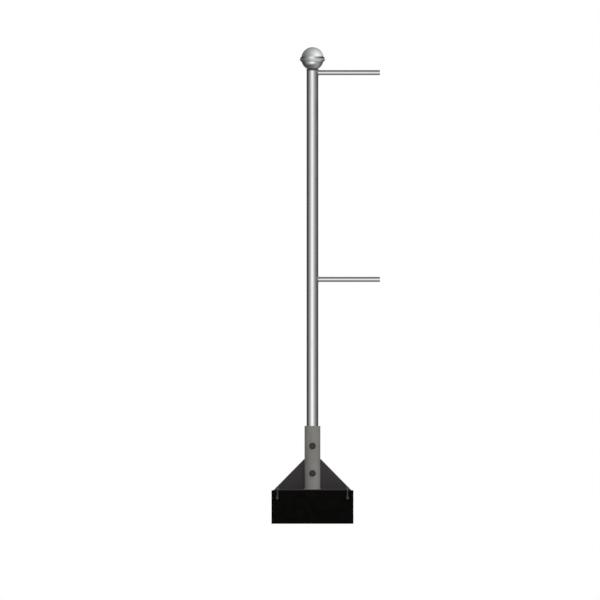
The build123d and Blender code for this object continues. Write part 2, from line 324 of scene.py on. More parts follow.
# Rows of a thread to the turn, its depth as a share of its pitch, and the turns of it inside the nut.
THREAD_ROWS = 8
THREAD_DEPTH = 0.6
TURNS_IN_NUT = 2


def thread_rings(steps, radius, pitch, bottom, top):
    """Rings that carry a screw thread, which runs out at both ends."""
    rows = round((top - bottom) / pitch * THREAD_ROWS)
    rings = []
    for row in range(rows + 1):
        level = bottom + (top - bottom) * row / rows
        depth = THREAD_DEPTH * pitch * min(1.0, row / THREAD_ROWS, (rows - row) / THREAD_ROWS)
        rings.append(ring(steps, lambda angle: radius - depth * abs(
            2 * ((level / pitch - angle / math.tau) % 1) - 1), level))
    return rings


def shank_rings(steps, radius, pitch, bottom, nut_top, top, chamfer):
    """The rings of a bolt's shank, from under its head to its chamfered tip, threaded from the nut on."""
    return [ring(steps, radius, bottom), ring(steps, radius, nut_top - pitch * (TURNS_IN_NUT + 1)),
            *thread_rings(steps, radius, pitch, nut_top - pitch * TURNS_IN_NUT, top - chamfer / 2),
            ring(steps, radius - chamfer, top), tip(top)]


# A bead's sides, its radius and its sink as shares of its leg, and the sections in which an end swells.
WELD_SIDES = 14
WELD_FULLNESS = 0.78
WELD_SINK = 0.28
WELD_END_SECTIONS = 7
# A bead's reach between two ripples, what a ripple and an uneven spot add to it, the uneven spots to the
# metre, the share of a ripple by which its crown lags, and the reach under which its end is a point.
WELD_VALLEY = 0.9
WELD_CREST = 0.11
WELD_SPOT = 0.05
WELD_SPOT_SCALE = 160
WELD_LAG = 0.5
WELD_POINT = 0.05


def weld(path, facing, leg, ripple, closed=False):
    """A rippled bead along a path in a corner. Facing gives the way out of the corner at each point."""
    radius = leg * WELD_FULLNESS
    last = len(path) - 1
    rings = []
    run = 0.0
    for index, point in enumerate(path):
        after = path[(index + 1) % len(path)] if closed or index < last else point
        before = path[index - 1] if closed or index else point
        along = (after - before).normalized()
        out = facing[index].normalized()
        side = along.cross(out).normalized()
        if index:
            run += (point - path[index - 1]).length
        ends = 1.0 if closed else min(index, last - index) / WELD_END_SECTIONS
        fade = math.sqrt(1 - (1 - min(1.0, ends)) ** 2)
        centre = point + out * leg * WELD_SINK
        uneven = WELD_SPOT * noise.noise(point * WELD_SPOT_SCALE)
        section = []
        for step in range(WELD_SIDES):
            angle = math.tau * step / WELD_SIDES
            phase = (run / ripple - WELD_LAG * math.cos(angle)) % 1
            swell = WELD_VALLEY + WELD_CREST * (1 - (2 * phase - 1) ** 2) + uneven
            reach = radius * swell * fade
            section.append(centre + (out * math.cos(angle) + side * math.sin(angle)) * reach)
        if fade < WELD_POINT:
            section = [sum(section, Vector()) / WELD_SIDES]
        rings.append(section)
    return skinned(rings, closed)


def straight(start, end, spacing):
    """Evenly spaced points from start to end."""
    count = max(2, round((end - start).length / spacing))
    return [start.lerp(end, step / count) for step in range(count + 1)]


def in_order(shape):
    """A shape built again with its corners and faces in a fixed order, which a bevel doesn't keep."""
    faces = []
    for face in shape.faces:
        spots = [tuple(corner.co) for corner in face.verts]
        # A face with four corners is split from its first to its third, so it starts at one of these.
        starts = (0, 2) if len(spots) == 4 else range(len(spots))
        first = min(starts, key=spots.__getitem__)
        faces.append(spots[first:] + spots[:first])
    shape.free()
    ordered = bmesh.new()
    corners = {spot: ordered.verts.new(spot) for spot in sorted({spot for face in faces for spot in face})}
    for face in sorted(faces):
        ordered.faces.new([corners[spot] for spot in face])
    return ordered


def new_mesh(name, shape, finish):
    """A mesh of a built shape in a finish."""
    mesh = bpy.data.meshes.new(name)
    shape.to_mesh(mesh)
    shape.free()
    mesh.materials.append(finish)
    return mesh


def new_object(name, data):
    """An object in the scene."""
    item = bpy.data.objects.new(name, data)
    bpy.context.scene.collection.objects.link(item)
    return item


# The angle over which an edge is sharp, in degrees, on most pieces and on a weld's ripples.
CREASE = 28
WELD_CREASE = 60


def add_piece(name, shape, slot, replaced=(), place=Matrix(), finish=None, crease=CREASE):
    """Makes a built shape, put in its place, a piece in its material slot's finish or in another."""
    bmesh.ops.transform(shape, matrix=place, verts=shape.verts)
    mesh = new_mesh(name, shape, finish or finish_of(slot))
    mesh.shade_smooth()
    mesh.set_sharp_from_angle(angle=math.radians(crease))
    body = new_object(name, mesh)
    shading = body.modifiers.new("even shading", "WEIGHTED_NORMAL")
    shading.keep_sharp = True
    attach(body, "root")
    if replaced:
        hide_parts(*replaced)


def refinish(node, finish):
    """Gives a node that stays as it is another finish."""
    for material_slot in frame["nodes"][node].material_slots:
        material_slot.material = finish


# ---- Building finishes -------------------------------------------------------------------------------
# What cloudy noise mostly runs between, and the cosines of the turns that begin and end an edge.
NOISE_SPAN = (0.3, 0.7)
EDGE_TURNS = (0.985, 0.86)
EDGE_SAMPLES = 6


class Nodes:
    """The nodes of a material or of the world."""

    def __init__(self, owner):
        owner.use_nodes = True
        self.nodes = owner.node_tree.nodes
        self.links = owner.node_tree.links

    def give(self, socket, value):
        """Sets a socket to a value, or joins another node's output to it."""
        if isinstance(value, bpy.types.NodeSocket):
            self.links.new(value, socket)
        else:
            socket.default_value = value

    def add(self, kind, inputs=(), **settings):
        """Adds a node, with inputs by name or number, and gives its outputs."""
        node = self.nodes.new(kind)
        for name, value in settings.items():
            setattr(node, name, value)
        for name, value in dict(inputs).items():
            self.give(node.inputs[name], value)
        return node.outputs

    def ranged(self, value, low, high, start=0.0, end=1.0, **settings):
        """A value between low and high, carried over to start and end."""
        inputs = {"Value": value, "From Min": low, "From Max": high, "To Min": start, "To Max": end}
        return self.add("ShaderNodeMapRange", inputs, **settings)["Result"]

    def both(self, first, second, operation="MULTIPLY"):
        """Two values joined by a sum, product or other operation."""
        return self.add("ShaderNodeMath", {0: first, 1: second}, operation=operation)["Value"]

    def seen(self):
        """One for rays from the camera, and for those that gloss and glass send on."""
        rays = self.add("ShaderNodeLightPath")
        total = self.both(rays["Is Camera Ray"], rays["Is Glossy Ray"], "MAXIMUM")
        return self.both(total, rays["Is Transmission Ray"], "MAXIMUM")


class Finish(Nodes):
    """A material's nodes, laid out over the flagpole's own coordinates."""

    def __init__(self, name, metallic=0.0, gloss=0.5):
        self.material = bpy.data.materials.new(name)
        super().__init__(self.material)
        self.shader = self.nodes["Principled BSDF"].inputs
        self.shader["Metallic"].default_value = metallic
        self.shader["Specular IOR Level"].default_value = gloss
        self.place = self.add("ShaderNodeTexCoord")["Object"]

    def noise(self, scale, stretch=(1, 1, 1), detail=4.0, roughness=0.55, distortion=0.0):
        """Cloudy noise, with so many clouds to the metre, scaled along each axis by the stretch."""
        place = self.add("ShaderNodeMapping", {"Vector": self.place, "Scale": stretch})["Vector"]
        inputs = {"Vector": place, "Scale": scale, "Detail": detail, "Roughness": roughness,
                  "Distortion": distortion}
        return self.add("ShaderNodeTexNoise", inputs)["Fac"]

    def cells(self, scale):
        """Cells, with so many to the metre: the distance from their middles and their random colours."""
        cells = self.add("ShaderNodeTexVoronoi", {"Vector": self.place, "Scale": scale})
        return cells["Distance"], cells["Color"]

    def mixed(self, factor, first, second):
        """Two colours mixed by a factor."""
        inputs = {"Factor": factor, 6: first, 7: second}
        return self.add("ShaderNodeMix", inputs, data_type="RGBA")[2]

    def toned(self, value, colour, start, end):
        """A colour that goes from one shade of itself to another with a noise."""
        return self.mixed(self.ranged(value, *NOISE_SPAN), shaded(colour, start), shaded(colour, end))

    def covered(self, base, value, low, high, most, colour):
        """A base with a colour over it, from none where a value is low to the most where it is high."""
        return self.mixed(self.ranged(value, low, high, 0.0, most), base, colour)

    def edges(self, radius):
        """One along the outer edges of the shape, and nought on its faces."""
        rounded = self.add("ShaderNodeBevel", {"Radius": radius}, samples=EDGE_SAMPLES)["Normal"]
        plain = self.add("ShaderNodeNewGeometry")["Normal"]
        turn = self.add("ShaderNodeVectorMath", {0: rounded, 1: plain}, operation="DOT_PRODUCT")
        return self.ranged(turn["Value"], *EDGE_TURNS)

    def upward(self):
        """One where the skin faces up, nought on its sides and minus one below."""
        normal = self.add("ShaderNodeNewGeometry")["Normal"]
        return self.add("ShaderNodeSeparateXYZ", {"Vector": normal})["Z"]

    def height(self):
        """The height over the ground."""
        return self.add("ShaderNodeSeparateXYZ", {"Vector": self.place})["Z"]

    def finished(self, colour, roughness, bumps):
        """Joins colour, roughness and bumps of (value, depth) to the shader, and gives the material."""
        self.give(self.shader["Base Color"], colour)
        self.give(self.shader["Roughness"], roughness)
        under = {}
        for value, depth in bumps:
            inputs = {"Height": value, "Distance": depth, "Strength": 1.0, **under}
            under = {"Normal": self.add("ShaderNodeBump", inputs)["Normal"]}
        self.give(self.shader["Normal"], under["Normal"])
        return self.material


def shaded(colour, factor):
    """A colour made darker or lighter by a factor, as a node takes it."""
    return (*(min(1.0, channel * factor) for channel in colour), 1.0)


def drawn_metal(name, colour, stretch, painted_shade=0.0):
    """Satin drawn tube, with fine die lines along it, faint marks and, where asked, painted shade on its top
    and lower flanks.
    """
    finish = Finish(name, metallic=1.0)
    lines = finish.noise(700, stretch, detail=3.0)
    broad_lines = finish.noise(90, stretch, detail=2.0)
    clouds = finish.noise(5, detail=5.0)
    base = finish.toned(broad_lines, colour, 0.95, 1.03)
    base = finish.covered(base, clouds, 0.55, 0.8, 0.35, shaded(colour, 0.86))
    if painted_shade:
        upward = finish.upward()
        # Painted shade on the tube's lower flanks, which stops short of its lowest line.
        underside_shade = finish.both(finish.ranged(upward, -0.1, -0.3), finish.ranged(upward, -0.78, -0.66))
        base = finish.mixed(finish.both(underside_shade, painted_shade), base, shaded(colour, 0.45))
        # Painted shade on the tube's top, which also makes the metal there less metallic.
        top_shade = finish.ranged(upward, 0.24, 0.42, 0.0, painted_shade)
        base = finish.mixed(top_shade, base, shaded(colour, 0.12))
        finish.give(finish.shader["Metallic"], finish.ranged(top_shade, 0.0, 1.0, 1.0, 0.2))
    roughness = finish.both(finish.ranged(lines, *NOISE_SPAN, 0.14, 0.19),
                            finish.ranged(clouds, 0.35, 0.75, -0.02, 0.05), "ADD")
    return finish.finished(base, roughness, [(lines, 0.000012), (broad_lines, 0.00002)])


def spun_metal(name, colour):
    """Spun and polished shell, with faint turning lines round the axis and small dull spots."""
    finish = Finish(name, metallic=1.0)
    lines = finish.noise(620, (0.02, 0.02, 1), detail=3.0)
    clouds = finish.noise(14, detail=5.0)
    spots = finish.noise(160, detail=2.0)
    base = finish.mixed(finish.ranged(clouds, 0.3, 0.75), shaded(colour, 1.04), shaded(colour, 0.9))
    base = finish.covered(base, spots, 0.66, 0.8, 0.4, shaded(colour, 0.6))
    roughness = finish.both(finish.ranged(lines, *NOISE_SPAN, 0.08, 0.13),
                            finish.ranged(clouds, 0.35, 0.75, -0.02, 0.03), "ADD")
    return finish.finished(base, roughness, [(lines, 0.000015), (spots, 0.00002)])


# The heights between which painted light at the socket's foot, against the shade of the base there, comes up,
# from none to its most.
PAINTED_LIGHT_TOP = 0.86
PAINTED_LIGHT_FOOT = 0.5


def weathered_zinc(name, colour):
    """Dull galvanised steel, with soft crystals, rain streaks, painted light at its foot and a grainy skin.
    """
    finish = Finish(name, gloss=0.35)
    _, crystals = finish.cells(70)
    crystal_tone = finish.add("ShaderNodeSeparateColor", {"Color": crystals})["Red"]
    streaks = finish.noise(60, (1, 1, 0.05), distortion=0.3)
    clouds = finish.noise(7, (1, 1, 0.6), detail=6.0)
    grain = finish.noise(900, detail=2.0)
    base = finish.toned(clouds, colour, 0.88, 1.12)
    base = finish.covered(base, crystal_tone, 0.0, 1.0, 0.35, shaded(colour, 1.25))
    base = finish.covered(base, streaks, 0.52, 0.75, 0.5, shaded(colour, 0.7))
    # Painted light: the foot is made paler, against the shade that the base casts there.
    base = finish.covered(base, finish.height(), PAINTED_LIGHT_TOP, PAINTED_LIGHT_FOOT, 0.5, shaded(colour, 1.9))
    roughness = finish.both(finish.ranged(clouds, *NOISE_SPAN, 0.55, 0.72),
                            finish.ranged(crystal_tone, 0.0, 1.0, -0.05, 0.05), "ADD")
    return finish.finished(base, roughness, [(grain, 0.00012), (clouds, 0.0006)])


def charcoal_paint(name, colour):
    """Satin paint over steel plate, with a fine orange peel, dust and rubbed edges."""
    finish = Finish(name, gloss=0.22)
    peel = finish.noise(420, detail=2.0)
    clouds = finish.noise(9, detail=6.0)
    dust = finish.noise(38, detail=6.0, roughness=0.65)
    patches = finish.noise(120, detail=5.0)
    rubbed = finish.both(finish.edges(0.003), finish.ranged(patches, 0.42, 0.62))
    base = finish.toned(clouds, colour, 0.86, 1.14)
    base = finish.covered(base, dust, 0.58, 0.8, 0.4, shaded(colour, 1.9))
    base = finish.mixed(rubbed, base, (0.16, 0.155, 0.15, 1))
    roughness = finish.ranged(clouds, *NOISE_SPAN, 0.46, 0.62)
    return finish.finished(base, roughness, [(peel, 0.00012), (clouds, 0.0004)])


def coated_concrete(name, colour):
    """Near-black coated concrete, with pores, a sandy skin, chalky patches and chipped edges."""
    finish = Finish(name, gloss=0.03)
    pores, _ = finish.cells(55)
    sand = finish.noise(800, detail=3.0)
    swells = finish.noise(12, detail=6.0)
    chalk = finish.noise(4, detail=8.0, roughness=0.62)
    chips = finish.noise(70, detail=5.0)
    chipped = finish.both(finish.edges(0.008), finish.ranged(chips, 0.5, 0.62))
    base = finish.toned(swells, colour, 0.6, 1.2)
    base = finish.covered(base, chalk, 0.56, 0.85, 0.4, shaded(colour, 2.2))
    base = finish.mixed(chipped, base, shaded(colour, 2.5))
    roughness = finish.ranged(sand, *NOISE_SPAN, 0.82, 0.96)
    pits = finish.ranged(pores, 0.06, 0.16)
    return finish.finished(base, roughness, [(swells, 0.0012), (pits, 0.0009), (sand, 0.0003)])


def dark_steel(name, colour, metallic, rust_share):
    """Blackened or coated steel, with fine tool marks, worn edges and a trace of rust."""
    finish = Finish(name, metallic=metallic, gloss=0.3)
    marks = finish.noise(1100, detail=3.0)
    clouds = finish.noise(60, detail=5.0)
    rust = finish.noise(130, detail=7.0, roughness=0.7)
    worn = finish.both(finish.edges(0.0012), finish.ranged(clouds, 0.4, 0.65))
    base = finish.toned(clouds, colour, 0.8, 1.2)
    base = finish.covered(base, rust, 0.62, 0.8, rust_share, (0.085, 0.042, 0.022, 1))
    base = finish.mixed(worn, base, (0.2, 0.19, 0.18, 1))
    roughness = finish.ranged(clouds, *NOISE_SPAN, 0.42, 0.58)
    return finish.finished(base, roughness, [(marks, 0.00006), (rust, 0.0001)])


def bare_weld(name, colour):
    """A brushed weld bead, greyer than the tube beside it from its tint, and darkened further as painted
    shade at the arm's root.
    """
    finish = Finish(name, metallic=1.0)
    brushed = finish.noise(500, detail=3.0)
    # The weld's dark tone is partly its tint and partly painted shade where the arm meets the pole.
    base = finish.toned(finish.noise(120), colour, 0.25, 0.45)
    roughness = finish.ranged(brushed, *NOISE_SPAN, 0.38, 0.55)
    return finish.finished(base, roughness, [(brushed, 0.0001)])


# The finishes that the pieces take, each made once from the colour settings.
FINISHES = {}
FINISH_MAKERS = {
    "pole_metal": lambda colours: drawn_metal("drawn pole tube", colours.pole_metal, (1, 1, 0.004)),
    # The arms take painted shade on their tops and lower flanks.
    "arm_metal": lambda colours: drawn_metal("drawn arm tube", colours.arm_metal, (0.004, 1, 1), painted_shade=0.9),
    "arm_weld": lambda colours: bare_weld("bare weld", colours.arm_metal),
    "ball_metal": lambda colours: spun_metal("spun ball shell", colours.ball_metal),
    "socket_steel": lambda colours: weathered_zinc("weathered zinc", colours.socket_steel),
    "base_steel": lambda colours: charcoal_paint("charcoal paint", colours.base_steel),
    "bolt_steel": lambda colours: dark_steel("blackened steel", colours.bolt_steel, metallic=0.35,
                                             rust_share=0.25),
    "anchor_steel": lambda colours: dark_steel("coated anchor steel", colours.anchor_steel, metallic=0.0,
                                               rust_share=0.15),
    "footing_concrete": lambda colours: coated_concrete("coated concrete", colours.footing_concrete),
}


def finish_of(name):
    """The finish of a material slot, or of the arms' welds."""
    if name not in FINISHES:
        FINISHES[name] = FINISH_MAKERS[name](bpy.context.scene.flagpole_colours)
    return FINISHES[name]


# ---- Pieces ------------------------------------------------------------------------------------------
# The share of the neck over the pole's end that its collar covers.
COLLAR_LIP_SHARE = 0.25


class FLAGPOLE_OT_pole(Operator):
    """Build the pole, and the grooved neck with its collar on the pole's end, dark as painted shade under the
    ball
    """
    bl_idname = "flagpole.pole"
    bl_label = "Pole and neck"
    bl_options = {"REGISTER", "UNDO"}

    def execute(self, context):
        sizes = context.scene.flagpole_sizes
        low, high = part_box("pole_tube")
        neck_low, neck_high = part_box("finial_neck")
        radius = extent("pole_tube").x / 2
        inside = radius - sizes.pole_wall
        shaft = eased(sleeve(inside, radius, low.z, high.z), sizes.edge_round)
        add_piece("pole_shaft", turned(shaft, sizes.large_round_steps), "pole_metal", ["pole_tube"])
        groove = radius - sizes.neck_groove
        spigot = inside - sizes.weld_gap
        collar = radius + sizes.collar_sleeve
        lap_end = high.z - sizes.collar_lap
        lip = high.z + (neck_high.z - high.z) * COLLAR_LIP_SHARE
        top = neck_high.z - sizes.edge_round
        neck = [(sizes.neck_bore, neck_low.z), (spigot, neck_low.z), (spigot, high.z), (radius, high.z),
                (radius, lap_end), (collar, lap_end), (collar, lip), (groove, lip), (groove, top),
                (sizes.neck_bore, top)]
        # The collar takes the dark anchor steel as painted shade under the ball.
        add_piece("neck_collar", turned(eased(neck, sizes.edge_round / 2, 2), sizes.large_round_steps),
                  "pole_metal", ["finial_neck"], finish=finish_of("anchor_steel"))
        return {"FINISHED"}


# Points on the arcs of the ball's dome and bowl, of the ring's lips, and of its nosing.
DOME_STEPS = 48
BOWL_STEPS = 40
LIP_STEPS = 6
NOSING_STEPS = 16


class FLAGPOLE_OT_ball(Operator):
    """Build the ball's bowl, moulded ring and dome"""
    bl_idname = "flagpole.ball"
    bl_label = "Ball"
    bl_options = {"REGISTER", "UNDO"}

    def execute(self, context):
        sizes = context.scene.flagpole_sizes
        self.level = middle("finial_ring").z
        self.dome_level = self.level + sizes.ball_seam
        self.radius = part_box("finial_dome")[1].z - self.level - sizes.ball_seam
        self.inside = self.radius - sizes.ball_wall
        for name, outline in (("ring", self.ring_outline(sizes)), ("dome", self.dome_outline(sizes)),
                              ("bowl", self.bowl_outline(sizes))):
            add_piece(f"ball_{name}", turned(outline, sizes.large_round_steps), "ball_metal",
                      [f"finial_{name}"])
        return {"FINISHED"}

    def angle_at(self, level, centre, radius):
        """The angle above the horizontal at which a round reaches a level."""
        return math.asin((level - centre) / radius)

    def dome_outline(self, sizes):
        """The hollow upper half, from its crown down to its seam and back up inside."""
        centre = self.dome_level
        seam = self.level + sizes.ring_half_height + sizes.seam_gap / 2
        crown = math.pi / 2
        outer = arc((0, centre), self.radius, crown, self.angle_at(seam, centre, self.radius), DOME_STEPS)
        inner = arc((0, centre), self.inside, self.angle_at(seam, centre, self.inside), crown, DOME_STEPS)
        return [(0, outer[0][1]), *outer[1:], *inner[:-1], (0, inner[-1][1])]

    def bowl_outline(self, sizes):
        """The hollow lower half, from its hole at the neck to its seam on the ring and back inside."""
        centre = self.level
        seam = self.level - sizes.ring_half_height - sizes.seam_gap / 2
        outer = arc((0, centre), self.radius, -math.acos(sizes.neck_bore / self.radius),
                    self.angle_at(seam, centre, self.radius), BOWL_STEPS)
        inner = arc((0, centre), self.inside, self.angle_at(seam, centre, self.inside),
                    -math.acos(sizes.neck_bore / self.inside), BOWL_STEPS)
        return outer + inner

    def ring_outline(self, sizes):
        """The ring between the seams: two bands with a nosing between them, and a sloped hem below."""
        reach = extent("finial_ring").x / 2
        crest = self.level - sizes.nosing_drop
        rise = reach - sizes.groove_radius
        nose = (sizes.nosing_half_height ** 2 + rise ** 2) / (2 * rise)
        turn = math.asin(sizes.nosing_half_height / nose)
        moulding = [
            (sizes.band_radius, self.level + sizes.band_top),
            (sizes.band_radius, crest + sizes.nosing_half_height + sizes.ring_ease),
            *arc((reach - nose, crest), nose, turn, -turn, NOSING_STEPS),
            (sizes.band_radius, self.level - sizes.band_foot),
            (sizes.hem_radius, self.level - sizes.hem_depth),
        ]
        rim = sizes.ring_half_height - sizes.seam_gap / 2
        upper = arc((0, self.dome_level), self.radius,
                    self.angle_at(self.level + rim, self.dome_level, self.radius),
                    self.angle_at(self.level + sizes.collar_top, self.dome_level, self.radius), LIP_STEPS)
        upper.append((upper[-1][0], self.level + sizes.band_top))
        lower = arc((0, self.level), self.radius,
                    self.angle_at(moulding[-1][1], self.level, self.radius),
                    self.angle_at(self.level - rim, self.level, self.radius), LIP_STEPS)
        bore = self.radius - sizes.ring_depth
        seat = sizes.ring_half_height + sizes.seam_gap / 2
        top_rim, foot_rim = upper[0][0] - sizes.seam_depth, lower[-1][0] - sizes.seam_depth
        outline = [(bore, self.level + seat), (top_rim, self.level + seat), (top_rim, self.level + rim)]
        outline += upper + moulding + lower
        outline += [(foot_rim, self.level - rim), (foot_rim, self.level - seat), (bore, self.level - seat)]
        return list(reversed(outline))


class FLAGPOLE_OT_arms(Operator):
    """Build the two banner arms, their end caps and the welds at their roots"""
    bl_idname = "flagpole.arms"
    bl_label = "Banner arms"
    bl_options = {"REGISTER", "UNDO"}

    def execute(self, context):
        sizes = context.scene.flagpole_sizes
        steps = sizes.large_round_steps
        pole_radius = extent("pole_tube").x / 2
        for level_name in LEVELS:
            cap_low, cap_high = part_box(f"{level_name}_arm_cap")
            tube_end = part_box(f"{level_name}_arm_tube")[1].x
            level = middle(f"{level_name}_arm_cap").z
            radius = extent(f"{level_name}_arm_cap").z / 2
            place = Matrix.Translation((0, 0, level)) @ ALONG_ARM
            tube = self.tube(steps, radius, pole_radius + sizes.weld_gap, tube_end, sizes)
            add_piece(f"{level_name}_arm_pipe", tube, "arm_metal", [f"{level_name}_arm_tube"], place)
            inside = radius - sizes.arm_wall - sizes.weld_gap
            cap = [(0, cap_low.x), (inside, cap_low.x), (inside, tube_end), (radius, tube_end),
                   (radius, cap_high.x), (0, cap_high.x)]
            add_piece(f"{level_name}_arm_end", turned(eased(cap, sizes.edge_round), steps), "arm_metal",
                      [f"{level_name}_arm_cap"], place)
            add_piece(f"{level_name}_arm_weld", self.root_weld(level, radius, pole_radius, sizes),
                      "arm_metal", finish=finish_of("arm_weld"), crease=WELD_CREASE)
        return {"FINISHED"}

    def tube(self, steps, radius, root, end, sizes):
        """The tube, cut at its root to the round of the pole."""
        def cut(reach):
            return lambda angle: math.sqrt(root ** 2 - (reach * math.sin(angle)) ** 2)

        inside = radius - sizes.arm_wall
        ease = sizes.edge_round / 2
        return skinned([ring(steps, inside, cut(inside)), ring(steps, radius, cut(radius)),
                        ring(steps, radius, end - ease), ring(steps, radius - ease, end),
                        ring(steps, inside, end)], closed=True)

    def root_weld(self, level, radius, pole_radius, sizes):
        """The bead where the tube meets the pole."""
        count = round(math.tau * radius / sizes.weld_station)
        path, facing = [], []
        for step in range(count):
            angle = math.tau * step / count
            across, up = radius * math.cos(angle), radius * math.sin(angle)
            out = math.sqrt(pole_radius ** 2 - across ** 2)
            path.append(Vector((out, across, level + up)))
            facing.append(Vector((out / pole_radius, across / pole_radius + math.cos(angle),
                                  math.sin(angle))))
        return weld(path, facing, sizes.arm_weld_leg, sizes.weld_ripple, closed=True)


class FLAGPOLE_OT_socket(Operator):
    """Build the socket that the pole stands in, and the weld round its foot"""
    bl_idname = "flagpole.socket"
    bl_label = "Socket"
    bl_options = {"REGISTER", "UNDO"}

    def execute(self, context):
        sizes = context.scene.flagpole_sizes
        low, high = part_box("socket_tube")
        radius = socket_radius(sizes)
        pipe = eased(sleeve(radius - sizes.socket_wall, radius, low.z, high.z), sizes.edge_round * 2)
        add_piece("socket_pipe", turned(pipe, sizes.large_round_steps), "socket_steel", ["socket_tube"])
        path = ring(round(math.tau * radius / sizes.weld_station), radius, low.z)
        facing = [Vector((point.x / radius, point.y / radius, 1)) for point in path]
        add_piece("socket_foot_weld", weld(path, facing, sizes.weld_leg, sizes.weld_ripple, closed=True),
                  "socket_steel", crease=WELD_CREASE)
        return {"FINISHED"}


# How far the bead at a gusset's root faces along the gusset, against one across it.
ROOT_LEAN = 0.8


class FLAGPOLE_OT_gussets(Operator):
    """Build the two gussets and the welds along their feet and roots"""
    bl_idname = "flagpole.gussets"
    bl_label = "Gussets"
    bl_options = {"REGISTER", "UNDO"}

    def execute(self, context):
        sizes = context.scene.flagpole_sizes
        low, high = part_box("gusset_right")
        foot, top, end = low.z, high.z, high.x
        start = socket_radius(sizes) + sizes.weld_gap
        for name, turn in (("gusset_right", 0), ("gusset_left", 180)):
            place = Matrix.Rotation(math.radians(turn), 4, "Z")
            add_piece(f"{name}_plate", self.plate(start, end, foot, top, sizes), "base_steel", [name], place)
            for side_name, side in (("front", -1), ("back", 1)):
                face = side * sizes.gusset_thickness / 2
                beads = {
                    "foot": ((start + sizes.gusset_snipe, face, foot), (end, face, foot), (0, side, 1)),
                    "root": ((start, face, foot + sizes.gusset_snipe), (start, face, top),
                             (ROOT_LEAN, side, 0)),
                }
                for bead_name, (first, last, facing) in beads.items():
                    path = straight(Vector(first), Vector(last), sizes.weld_station)
                    shape = weld(path, [Vector(facing)] * len(path), sizes.weld_leg, sizes.weld_ripple)
                    add_piece(f"{name}_{bead_name}_weld_{side_name}", shape, "base_steel", place=place,
                              crease=WELD_CREASE)
        return {"FINISHED"}

    def plate(self, start, end, foot, top, sizes):
        """The right-hand plate: blunt at both tips, and sniped over the socket's weld."""
        outline = [(start + sizes.gusset_snipe, foot), (end, foot), (end, foot + sizes.gusset_nose),
                   (start + sizes.gusset_nose, top), (start, top), (start, foot + sizes.gusset_snipe)]
        shape = bmesh.new()
        face = shape.faces.new([shape.verts.new((x, -sizes.gusset_thickness / 2, z)) for x, z in outline])
        grown = bmesh.ops.extrude_face_region(shape, geom=[face])["geom"]
        moved = [item for item in grown if isinstance(item, bmesh.types.BMVert)]
        bmesh.ops.translate(shape, verts=moved, vec=(0, sizes.gusset_thickness, 0))
        bmesh.ops.bevel(shape, geom=shape.edges[:], offset=sizes.plate_edge_round, segments=3,
                        affect="EDGES", profile=0.5)
        bmesh.ops.recalc_face_normals(shape, faces=shape.faces)
        return in_order(shape)


# The floor and the rim of the dish in a socket bolt's head, as shares of the head's flat face, the (radial,
# axial) amounts of its seat's chamfer, and how far in a rounded edge's middle lies, as a share of its radius.
DISH_FLOOR = 0.9
DISH_RIM = 0.93
HEAD_SEAT = (0.0001, 0.00005)
ROUND_MIDDLE = 0.3


class FLAGPOLE_OT_socket_bolts(Operator):
    """Build the two through bolts of the socket, their nuts and their saddle washers"""
    bl_idname = "flagpole.socket_bolts"
    bl_label = "Socket bolts"
    bl_options = {"REGISTER", "UNDO"}

    def execute(self, context):
        sizes = context.scene.flagpole_sizes
        steps = sizes.small_round_steps
        for level_name in LEVELS:
            bolt, nut_node = f"socket_bolt_{level_name}", f"socket_nut_{level_name}"
            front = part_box(f"socket_washer_{level_name}_front")[0].y
            low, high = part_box(bolt)
            nut_low, nut_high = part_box(nut_node)
            flats = extent(bolt).z
            lift = Matrix.Translation((0, 0, middle(bolt).z))
            chamfer = hexagon_chamfer(flats)
            face_radius = hexagon_corner(flats) - chamfer[0]
            dish = low.y + sizes.head_dish
            rings = [tip(dish), ring(steps, face_radius * DISH_FLOOR, dish),
                     ring(steps, face_radius * DISH_RIM, low.y),
                     *hexagon_rings(steps, flats, low.y, front, chamfer, HEAD_SEAT),
                     *shank_rings(steps, sizes.shank_radius, sizes.socket_thread, front, nut_high.y, high.y,
                                  sizes.tip_chamfer)]
            add_piece(f"through_bolt_{level_name}", skinned(rings), "bolt_steel", [bolt], lift @ TO_BACK)
            shape = nut(steps, flats, nut_low.y, nut_high.y, sizes.shank_radius + sizes.nut_relief)
            add_piece(f"through_nut_{level_name}", shape, "bolt_steel", [nut_node], lift @ TO_BACK)
            for side_name, turn in (("front", TO_FRONT), ("back", TO_BACK)):
                node = f"socket_washer_{level_name}_{side_name}"
                shape = self.saddle_washer(steps, extent(node).x / 2, -front, sizes)
                add_piece(f"saddle_{level_name}_{side_name}", shape, "bolt_steel", [node], lift @ turn)
        return {"FINISHED"}

    def saddle_washer(self, steps, radius, face, sizes):
        """A washer with a flat outer face and an inner face hollowed to sit on the socket."""
        bore = sizes.shank_radius + sizes.washer_play
        seat = socket_radius(sizes) + sizes.weld_gap
        ease = sizes.edge_round / 2
        part = ease * ROUND_MIDDLE

        def hollow(reach):
            return lambda angle: math.sqrt(seat ** 2 - (reach * math.cos(angle)) ** 2)

        return skinned([ring(steps, bore, hollow(bore)), ring(steps, bore, face),
                        ring(steps, radius - ease, face), ring(steps, radius - part, face - part),
                        ring(steps, radius, face - ease), ring(steps, radius, hollow(radius))], closed=True)


